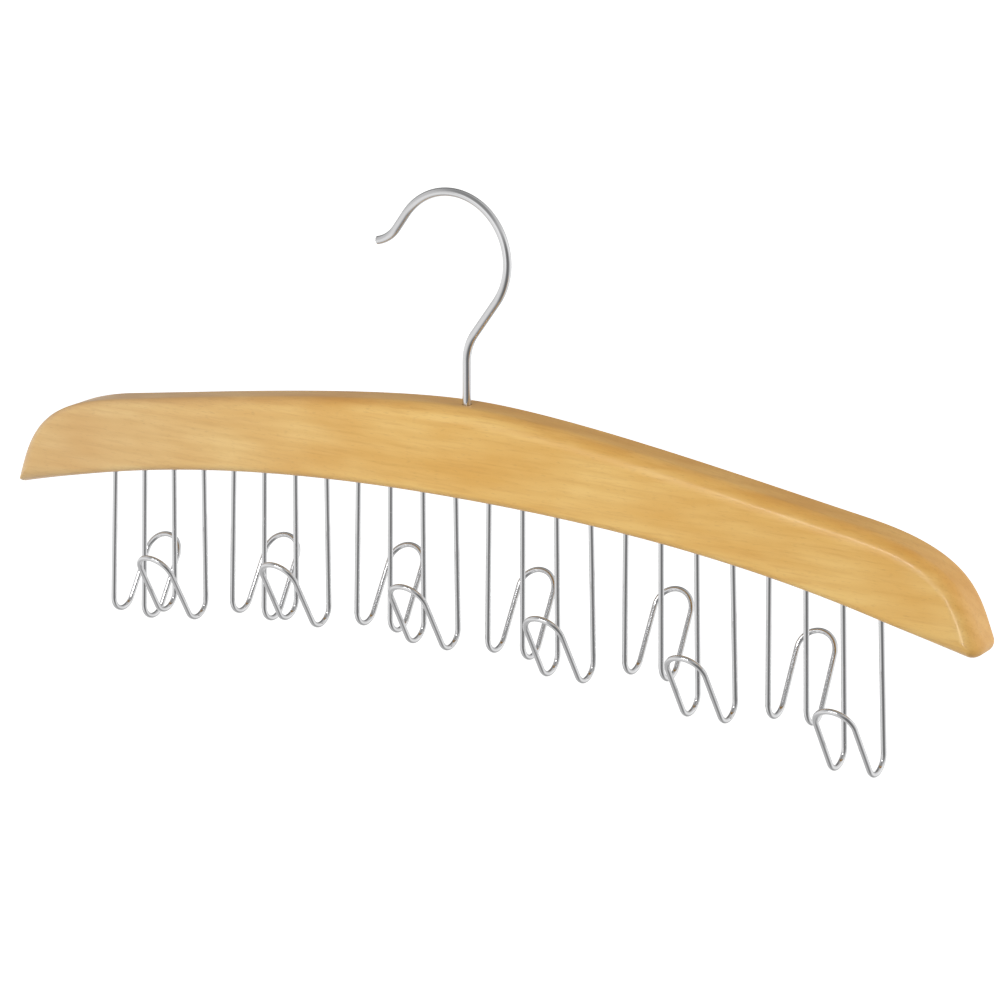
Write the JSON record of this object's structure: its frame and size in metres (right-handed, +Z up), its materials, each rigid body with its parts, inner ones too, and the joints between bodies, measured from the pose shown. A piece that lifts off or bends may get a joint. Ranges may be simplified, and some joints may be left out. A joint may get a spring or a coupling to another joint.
{
  "type": "belt hanger",
  "caption": "Arched wooden belt hanger with a swivelling wire hook and a row of bent-wire belt hooks that face front and rear in turn.",
  "frame": {"origin": "where the top of the rail lies in the swivel hook, on the axis of the hook's stem", "axes": "+X along the board, away from the swivel hook's mouth; +Y out of the board's rear face, across the rail; +Z up along the stem"},
  "size_m": [0.4354, 0.0528, 0.1963],
  "materials": {
    "board_wood": "pale warm wood with a fine long grain under a clear satin lacquer",
    "hook_wire": "bright plated wire",
    "washer_steel": "plain zinc-plated steel",
    "belt_hook_wire": "bright plated wire"
  },
  "bodies": {
    "hook": {"swivel_hook": "hook_wire", "stem_washer": "washer_steel"},
    "hanger": {"board": "board_wood", "belt_hook_01": "belt_hook_wire", "belt_hook_02": "belt_hook_wire", "belt_hook_03": "belt_hook_wire", "belt_hook_04": "belt_hook_wire", "belt_hook_05": "belt_hook_wire", "belt_hook_06": "belt_hook_wire", "belt_hook_07": "belt_hook_wire", "belt_hook_08": "belt_hook_wire", "belt_hook_09": "belt_hook_wire", "belt_hook_10": "belt_hook_wire", "belt_hook_11": "belt_hook_wire", "belt_hook_12": "belt_hook_wire"}
  },
  "joints": [
    {"name": "hook_swivel", "type": "hinge", "parent": "hook", "child": "hanger", "pos_m": [0, 0, -0.1], "axis": [0, 0, 1], "continuous": true}
  ]
}
